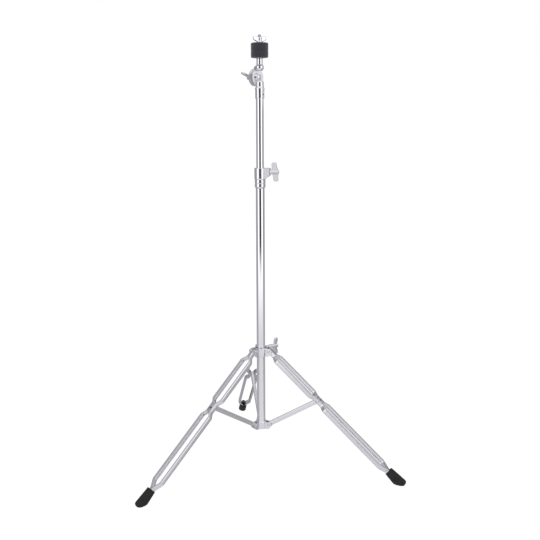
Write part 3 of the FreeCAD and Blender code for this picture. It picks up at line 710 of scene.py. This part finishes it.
def wing_blank(name, hub, span, root, low, high, saddle, bore=None):
    """Cast wings round a hub, along +Z from the seat, in millimetres; remeshed so that the
    wings flow into the hub."""
    tip = span / 2
    collar = lathe(name + "_hub", [(r * MM, z * MM) for r, z in (
        (HUB_R + 0.6, 0.0), (HUB_R + 1.2, 0.6), (HUB_R + 1.1, 2.0), (HUB_R, 3.6), (HUB_R - 0.4, hub - 1.2),
        (HUB_R - 1.4, hub))], 48)
    line = rounded([(0, root, 0), (HUB_R, root, 2), (tip - 3, low - 1, 6), (tip, low + 2, 2.5),
                    (tip, high, 4), (tip - 9, high, 6), (HUB_R - 1, saddle, 3), (0, saddle, 0)], 6)
    parts = [collar]
    for side in (1, -1):
        blade = plate(name + "_blade", [(side * x * MM, z * MM) for x, z in line], WING_THICK * MM,
                      WING_BEVEL * MM)
        parts.append(blade)
    piece = joined(parts, name)
    with_modifier(piece, "REMESH", mode="VOXEL", voxel_size=WING_VOXEL * MM, use_smooth_shade=True)
    with_modifier(piece, "SMOOTH", factor=0.6, iterations=5)
    apply_all(piece)
    if bore:
        cutter = lathe(name + "_bore", [(bore * MM, -5 * MM), (bore * MM, (hub + 5) * MM)], 48)
        cut = with_modifier(piece, "BOOLEAN", operation="DIFFERENCE", solver="EXACT", object=cutter)
        pick(piece)
        bpy.ops.object.modifier_apply(modifier=cut.name)
        bpy.data.objects.remove(cutter)
    smooth(piece, 45)
    return piece


def make_wings():
    clamp_axis, collar_axis = joint_axis("clamp_bolt_turn"), joint_axis("collar_bolt_turn")
    clamp_seat = joint_place("clamp_bolt_turn") + clamp_axis * SEAT_GAP
    collar_seat = joint_place("collar_bolt_turn") + collar_axis * SEAT_GAP
    nut_axis = joint_axis("tilter_nut_turn")
    nut_low = (middle("tilter_washer") - joint_place("tilter_nut_turn")).length + WASHER_HALF
    nut_seat = joint_place("tilter_nut_turn") + nut_axis * nut_low
    clamp = joined([wing_blank("clamp_wings", **CLAMP_WING),
                    threaded("clamp_shank", SHANK_R, -CLAMP_SHANK, SHANK_IN_HUB)], "clamp_wings")
    collar = joined([wing_blank("collar_wings", **COLLAR_WING),
                     threaded("collar_shank", SHANK_R, -COLLAR_SHANK, SHANK_IN_HUB)], "collar_wings")
    tilter = wing_blank("tilter_wings", bore=NUT_BORE, **TILTER_WING)
    top = wing_blank("top_wings", bore=NUT_BORE, **TOP_WING)
    settle(clamp, wing_place(clamp_axis, clamp_seat, CLAMP_WING_TURN))
    settle(collar, wing_place(collar_axis, collar_seat, 0.0))
    settle(tilter, wing_place(nut_axis, nut_seat, TILT_WING_TURN))
    spin = Matrix.Rotation(math.radians(TOP_WING_TURN), 4, "Z")
    settle(top, Matrix.Translation(joint_place("cymbal_nut_turn")) @ spin)
    for piece, node in ((clamp, "clamp_wing_bolt"), (collar, "leg_collar_wing_bolt"),
                        (tilter, "tilter_wing_nut"), (top, "cymbal_wing_nut")):
        stand_for(piece, node)


def wing_place(axis, seat, turn):
    """Stand wings made along +Z, upright in X and Z, on a level axis; a turn of zero is plumb."""
    z_axis = axis.normalized()
    x_axis = Vector((0, 0, -1))
    y_axis = z_axis.cross(x_axis)
    spin = Matrix.Rotation(math.radians(turn), 4, z_axis)
    stand = Matrix((x_axis, y_axis, z_axis)).transposed().to_4x4()
    return Matrix.Translation(seat) @ spin @ stand


# ------------------------------------------------------------------ cymbal seat
FELT_BORE = 6.3
FELT_SKIN = 0.12 * MM
FELT_EDGE = 2.8 * MM
FELT_MEETING_EDGE = 0.6 * MM
FELT_SWELL = 0.3 * MM
FELT_NAP = 0.18 * MM
CLOTH_VOXEL = 1.3 * MM
CLOTH_PRESSURE = 4.0
CLOTH_STIFFNESS = 30.0
CLOTH_FRAMES = 12


def make_felt(node, low_corner, high_corner):
    """Pressed felt ring: swollen a little as cloth under pressure, then roughened by fibres."""
    low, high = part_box(node)
    outer = size(node).x / 2 - FELT_SKIN
    bore = FELT_BORE * MM + FELT_SKIN
    bottom, top = low.z + FELT_SKIN, high.z - FELT_SKIN
    outline = rounded([(bore, bottom, 0), (outer, bottom, low_corner), (outer, top, high_corner),
                       (bore, top, 0)], 5)
    piece = lathe(node + "_pad", outline + [outline[0]], 72)
    swell(piece, FELT_SWELL)
    for vertex in piece.data.vertices:
        vertex.co.z = min(max(vertex.co.z, bottom), top)
    with_modifier(piece, "SUBSURF", levels=1, render_levels=1)
    apply_all(piece)
    roughen(piece, FELT_NAP)
    smooth(piece, 60)
    stand_for(piece, node)


def swell(piece, cap):
    """Remesh, let cloth pressure push the pad out, and hold each point within the cap."""
    with_modifier(piece, "REMESH", mode="VOXEL", voxel_size=CLOTH_VOXEL)
    apply_all(piece)
    start = [vertex.co.copy() for vertex in piece.data.vertices]
    cloth = piece.modifiers.new("Cloth", "CLOTH")
    cloth.settings.use_pressure = True
    cloth.settings.uniform_pressure_force = CLOTH_PRESSURE
    cloth.settings.effector_weights.gravity = 0.0
    cloth.settings.tension_stiffness = CLOTH_STIFFNESS
    cloth.settings.compression_stiffness = CLOTH_STIFFNESS
    for moment in range(1, CLOTH_FRAMES + 1):
        bpy.context.scene.frame_set(moment)
    apply_all(piece)
    bpy.context.scene.frame_set(1)
    for vertex, origin in zip(piece.data.vertices, start):
        shift = vertex.co - origin
        if shift.length > cap:
            vertex.co = origin + shift.normalized() * cap


def roughen(piece, height):
    """Push the surface in and out by fine noise, as cut felt has it."""
    texture = bpy.data.textures.new(piece.name + "_nap", "CLOUDS")
    texture.noise_scale = 1.6 * MM
    texture.noise_depth = 2
    with_modifier(piece, "DISPLACE", texture=texture, strength=height, mid_level=0.6)
    apply_all(piece)


def make_cymbal_seat():
    rod_low, rod_high = [corner.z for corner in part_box("cymbal_rod")]
    stand_for(threaded("cymbal_thread", size("cymbal_rod").x / 2, rod_low, rod_high), "cymbal_rod")
    make_felt("lower_felt", FELT_EDGE, FELT_MEETING_EDGE)
    make_felt("upper_felt", FELT_MEETING_EDGE, FELT_EDGE)


# ------------------------------------------------------------------ camera, light and floor
CAMERA_PLACE = Vector((-0.3039, -1.8621, 0.9117))
CAMERA_HEADING = -8.526
CAMERA_PITCH = 11.59
CAMERA_ROLL = -0.42
CAMERA_LENS = 49.49
CAMERA_SENSOR = 36.0
CAMERA_SHIFT = (0.0349, 0.0052)
WALL_COLOUR = (0.965, 0.965, 1.0, 1)
WALL_FRONT = 1.55
WALL_BEHIND = 0.40
BOOTH_HALF = 17.0
BOOTH_FADE = 34.0
BOOTH_GLOW = 0.03
LOWER_GLOW = 0.86
LOWER_BEHIND = 0.46
CEILING_GLOW = 0.9
ROOM_LIGHT = 0.70
PANEL_AZIMUTH = -1.0
PANEL_GLOW = 1.05


def add_camera():
    data = bpy.data.cameras.new("camera")
    data.lens = CAMERA_LENS
    data.sensor_width = CAMERA_SENSOR
    data.shift_x, data.shift_y = CAMERA_SHIFT
    camera = bpy.data.objects.new("camera", data)
    bpy.context.scene.collection.objects.link(camera)
    heading = Matrix.Rotation(math.radians(CAMERA_HEADING), 4, "Z")
    pitch = Matrix.Rotation(math.radians(90 - CAMERA_PITCH), 4, "X")
    roll = Matrix.Rotation(math.radians(CAMERA_ROLL), 4, "Z")
    camera.matrix_world = Matrix.Translation(CAMERA_PLACE) @ heading @ pitch @ roll
    bpy.context.scene.camera = camera


def add_area(name, place, target, width, height, power):
    """A soft lamp that mirrors do not show."""
    data = bpy.data.lights.new(name, "AREA")
    data.shape = "RECTANGLE"
    data.size, data.size_y = width, height
    data.energy = power
    lamp = bpy.data.objects.new(name, data)
    bpy.context.scene.collection.objects.link(lamp)
    lamp.location = place
    lamp.rotation_euler = (Vector(target) - Vector(place)).to_track_quat("-Z", "Y").to_euler()
    lamp.visible_glossy = False


def add_surroundings():
    """White studio. Metal sees its white walls, with a dark booth round the camera and
    dusk behind the stand; everything else is lit evenly by it."""
    world = bpy.data.worlds.new("studio")
    bpy.context.scene.world = world
    room = Finish("studio", world)
    ray = room.node("ShaderNodeTexCoord", out=0)
    x, y, z = [room.node("ShaderNodeSeparateXYZ", out=i, Vector=ray) for i in range(3)]
    level = ((x * x + y * y) ** 0.5).most(1e-4)
    towards = Vector((CAMERA_PLACE.x, CAMERA_PLACE.y, 0)).normalized()
    facing = (x * towards.x + y * towards.y) / level

    def ramp(value, start, end, low=0.0, high=1.0):
        return room.node("ShaderNodeMapRange", {"interpolation_type": "SMOOTHSTEP"}, Value=value,
                         From_Min=start, From_Max=end, To_Min=low, To_Max=high)

    fade, core = math.cos(math.radians(BOOTH_FADE)), math.cos(math.radians(BOOTH_HALF))
    walls = ramp(facing, 0.30, 0.46, WALL_BEHIND, WALL_FRONT)
    booth = ramp(facing, fade, core) * ramp(z, -0.22, -0.16) * ramp(z, 0.42, 0.25)
    turn = math.radians(PANEL_AZIMUTH)
    panel = ramp((x * math.cos(turn) + y * math.sin(turn)) / level, 0.93, 0.99) * ramp(z, 0.0, 0.03)
    walls = walls.most(panel * PANEL_GLOW)
    lower = ramp(z, -0.16, -0.30)
    high = ramp(z, 0.35, 0.9)
    upright = walls * (1 - lower) + ramp(facing, 0.20, 0.50, LOWER_BEHIND, LOWER_GLOW) * lower
    mirrored = (upright * (1 - high) + high * CEILING_GLOW) * (1 - booth * (1 - BOOTH_GLOW))
    seen, glossy, through = [room.node("ShaderNodeLightPath", out=kind) for kind in
                             ("Is Camera Ray", "Is Glossy Ray", "Is Transmission Ray")]
    backdrop = seen + through + glossy * mirrored
    strength = backdrop + ROOM_LIGHT * (1 - (seen + through + glossy).least(1.0))
    room.set(Color=room.blend(seen, WALL_COLOUR, (1, 1, 1, 1)), Strength=strength)


FLOOR_SIDE = 9.0
FLOOR_DROP = 0.4 * MM
FLOOR_GLOW = 0.9
FLOOR_WHITE = 1.06


def add_floor():
    bpy.ops.mesh.primitive_plane_add(size=FLOOR_SIDE, location=(0, 0, -FLOOR_DROP))
    floor = new_piece("floor")
    settle(floor)
    finish = Finish("white_paper")
    tree = finish.tree
    finish.set(Base_Color=grey(0.9), Roughness=0.9, Specular_IOR_Level=0.1)
    glow = tree.nodes.new("ShaderNodeEmission")
    glow.inputs["Strength"].default_value = FLOOR_WHITE
    mix = tree.nodes.new("ShaderNodeMixShader")
    seen = finish.node("ShaderNodeLightPath", out="Is Camera Ray")
    tree.links.new((seen * FLOOR_GLOW).socket, mix.inputs[0])
    tree.links.new(finish.shader.outputs[0], mix.inputs[1])
    tree.links.new(glow.outputs[0], mix.inputs[2])
    tree.links.new(mix.outputs[0], tree.nodes["Material Output"].inputs[0])
    floor.data.materials.append(finish.material)
    floor.visible_glossy = False


# ------------------------------------------------------------------ the stand
add_camera()
dress_frame()
for tube in ("base_tube", "upper_tube"):
    make_tube(tube)
for casting, edge in CAST_EDGES.items():
    soften(casting, edge * MM)
make_spring_pin()
make_legs()
make_wings()
make_cymbal_seat()
add_surroundings()
add_area("key", (-1.6, -1.6, 2.2), (0, 0, 0.6), 1.6, 1.6, 22.0)
add_area("fill", (1.9, -1.0, 1.4), (0, 0, 0.5), 1.2, 1.8, 10.0)
add_floor()
bpy.context.scene.view_settings.view_transform = "Standard"
